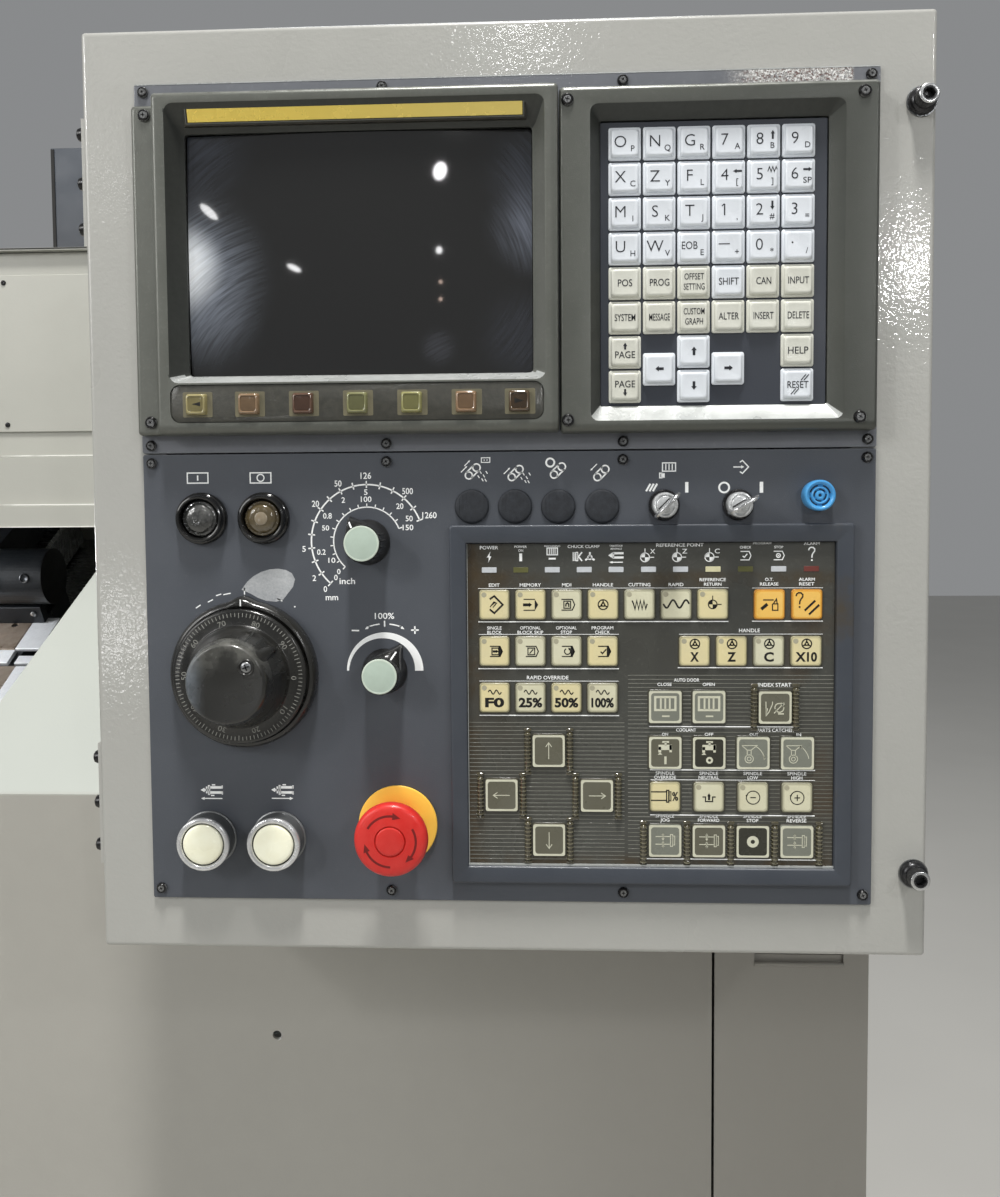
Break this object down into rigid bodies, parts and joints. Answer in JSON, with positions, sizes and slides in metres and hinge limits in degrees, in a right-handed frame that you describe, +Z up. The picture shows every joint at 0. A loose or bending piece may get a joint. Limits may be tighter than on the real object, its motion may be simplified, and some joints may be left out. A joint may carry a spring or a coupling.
{
  "type": "cnc turning lathe",
  "caption": "Slant-bed CNC turning lathe with sliding front door, chuck, turret, tailstock and a hinged operator control station.",
  "frame": {"origin": "on the floor, under the centre of the outer box", "axes": "+X to the operator's right along the bed, -Y towards the operator, +Z up"},
  "size_m": [2.3, 1.491, 1.776],
  "materials": {
    "casing_paint": "light warm grey textured enamel",
    "cover_paint": "pale cream-grey enamel",
    "plate_paint": "dark blue-grey enamel",
    "bezel_plastic": "dark olive-grey moulding",
    "cabinet_paint": "dark grey enamel",
    "black_plastic": "black, slightly worn",
    "cast_iron": "painted casting",
    "ground_steel": "ground and oiled",
    "chrome": "polished plating",
    "screen_glass": "dark tube face, glossy",
    "key_sheet": "white and beige keys",
    "key_film": "embossed smoked film",
    "stop_red": "red moulding",
    "ring_yellow": "yellow moulding",
    "button_ivory": "aged ivory moulding",
    "lens_amber": "amber lens",
    "lens_clear": "clear lens",
    "window": "clear guard window"
  },
  "bodies": {
    "machine": {"base_casting": "cast_iron", "leveling_foot_front_left": "ground_steel", "leveling_foot_front_right": "ground_steel", "leveling_foot_rear_left": "ground_steel", "leveling_foot_rear_right": "ground_steel", "slant_bed": "cast_iron", "headstock": "cast_iron", "front_lower_casing": "casing_paint", "right_front_casing": "casing_paint", "right_end_casing": "casing_paint", "headstock_casing": "casing_paint", "left_end_casing": "casing_paint", "upper_front_cover": "cover_paint", "access_plate": "cover_paint", "roof_and_rear_cover": "cover_paint", "electrical_cabinet": "cabinet_paint", "coolant_tank": "casing_paint", "station_housing": "casing_paint"},
    "front_door": {"sliding_door": "casing_paint", "door_window": "window", "door_handle": "black_plastic"},
    "spindle_unit": {"spindle": "ground_steel", "chuck_body": "ground_steel"},
    "jaw_1": {"chuck_jaw_1": "ground_steel"},
    "jaw_2": {"chuck_jaw_2": "ground_steel"},
    "jaw_3": {"chuck_jaw_3": "ground_steel"},
    "carriage": {"saddle": "cast_iron"},
    "cross_slide": {"turret_slide": "cast_iron"},
    "turret": {"turret_disc": "ground_steel"},
    "tailstock": {"tailstock_body": "cast_iron"},
    "quill": {"tailstock_quill": "ground_steel"},
    "rear_cabinet_door": {"cabinet_door": "cabinet_paint"},
    "station_front": {"station_door": "casing_paint", "station_hinge_upper": "black_plastic", "station_hinge_lower": "black_plastic", "station_bolt_upper": "black_plastic", "station_bolt_lower": "black_plastic", "upper_face_plate": "plate_paint", "lower_face_plate": "plate_paint", "display_bezel": "bezel_plastic", "display_tube": "screen_glass", "softkey_sheet": "key_film", "keyboard_bezel": "bezel_plastic", "keyboard_key_sheet": "key_sheet", "operator_frame": "plate_paint", "operator_key_sheet": "key_film", "handwheel_housing": "black_plastic", "stop_collar": "ring_yellow", "push_ring_left": "chrome", "push_ring_right": "chrome"},
    "pulse_handwheel": {"handwheel": "black_plastic"},
    "feed_dial": {"feed_knob": "black_plastic"},
    "override_dial": {"override_knob": "black_plastic"},
    "stop": {"stop_button": "stop_red"},
    "push_left": {"push_button_left": "button_ivory"},
    "push_right": {"push_button_right": "button_ivory"},
    "power_on": {"power_button_on": "lens_clear"},
    "power_off": {"power_button_off": "lens_amber"},
    "key_left": {"key_switch_left": "chrome"},
    "key_right": {"key_switch_right": "chrome"}
  },
  "joints": [
    {"name": "front_door_slide", "type": "slide", "parent": "machine", "child": "front_door", "axis": [1, 0, 0], "range_m": [0, 0.812]},
    {"name": "spindle_turn", "type": "hinge", "parent": "machine", "child": "spindle_unit", "pos_m": [-0.5, -0.05338, 1.12996], "axis": [1, 0, 0], "continuous": true},
    {"name": "jaw_1_slide", "type": "slide", "parent": "spindle_unit", "child": "jaw_1", "axis": [0, -0.5, 0.866], "range_m": [-0.012, 0.003]},
    {"name": "jaw_2_slide", "type": "slide", "parent": "spindle_unit", "child": "jaw_2", "axis": [0, -0.5, -0.866], "range_m": [-0.012, 0.003]},
    {"name": "jaw_3_slide", "type": "slide", "parent": "spindle_unit", "child": "jaw_3", "axis": [0, 1, 0], "range_m": [-0.012, 0.003]},
    {"name": "carriage_slide", "type": "slide", "parent": "machine", "child": "carriage", "axis": [1, 0, 0], "range_m": [-0.13, 0.45]},
    {"name": "cross_slide_slide", "type": "slide", "parent": "carriage", "child": "cross_slide", "axis": [0, 0.866, 0.5], "range_m": [-0.04, 0.03]},
    {"name": "turret_index", "type": "hinge", "parent": "cross_slide", "child": "turret", "pos_m": [-0.1, 0.11922, 1.22961], "axis": [1, 0, 0], "continuous": true},
    {"name": "tailstock_slide", "type": "slide", "parent": "machine", "child": "tailstock", "axis": [1, 0, 0], "range_m": [-0.2, 0.15]},
    {"name": "quill_slide", "type": "slide", "parent": "tailstock", "child": "quill", "axis": [1, 0, 0], "range_m": [-0.06, 0.01]},
    {"name": "cabinet_door_hinge", "type": "hinge", "parent": "machine", "child": "rear_cabinet_door", "pos_m": [1.15, 0.7245, 0.9], "axis": [0, 0, -1], "range_deg": [0, 110]},
    {"name": "station_door_hinge", "type": "hinge", "parent": "machine", "child": "station_front", "pos_m": [0.6542, -0.6773, 1.22], "axis": [0, 0, -1], "range_deg": [0, 100]},
    {"name": "handwheel_turn", "type": "hinge", "parent": "station_front", "child": "pulse_handwheel", "pos_m": [0.7479, -0.7235, 1.1193], "axis": [0, -1, 0], "continuous": true},
    {"name": "feed_dial_turn", "type": "hinge", "parent": "station_front", "child": "feed_dial", "pos_m": [0.8197, -0.7135, 1.1944], "axis": [0, -1, 0], "range_deg": [-126, 98]},
    {"name": "override_dial_turn", "type": "hinge", "parent": "station_front", "child": "override_dial", "pos_m": [0.8287, -0.7135, 1.1205], "axis": [0, -1, 0], "range_deg": [-102, 168]},
    {"name": "stop_push", "type": "slide", "parent": "station_front", "child": "stop", "axis": [0, 1, 0], "range_m": [0, 0.006], "stiffness_N_per_m": 3000},
    {"name": "push_left_press", "type": "slide", "parent": "station_front", "child": "push_left", "axis": [0, 1, 0], "range_m": [0, 0.004], "stiffness_N_per_m": 900},
    {"name": "push_right_press", "type": "slide", "parent": "station_front", "child": "push_right", "axis": [0, 1, 0], "range_m": [0, 0.004], "stiffness_N_per_m": 900},
    {"name": "power_on_press", "type": "slide", "parent": "station_front", "child": "power_on", "axis": [0, 1, 0], "range_m": [0, 0.003], "stiffness_N_per_m": 900},
    {"name": "power_off_press", "type": "slide", "parent": "station_front", "child": "power_off", "axis": [0, 1, 0], "range_m": [0, 0.003], "stiffness_N_per_m": 900},
    {"name": "key_left_turn", "type": "hinge", "parent": "station_front", "child": "key_left", "pos_m": [0.9877, -0.7155, 1.2144], "axis": [0, -1, 0], "range_deg": [0, 90]},
    {"name": "key_right_turn", "type": "hinge", "parent": "station_front", "child": "key_right", "pos_m": [1.0289, -0.7155, 1.2143], "axis": [0, -1, 0], "range_deg": [0, 90]}
  ],
  "couplings": [
    {"joint": "jaw_2_slide", "follows": "jaw_1_slide", "ratio": 1},
    {"joint": "jaw_3_slide", "follows": "jaw_1_slide", "ratio": 1}
  ]
}
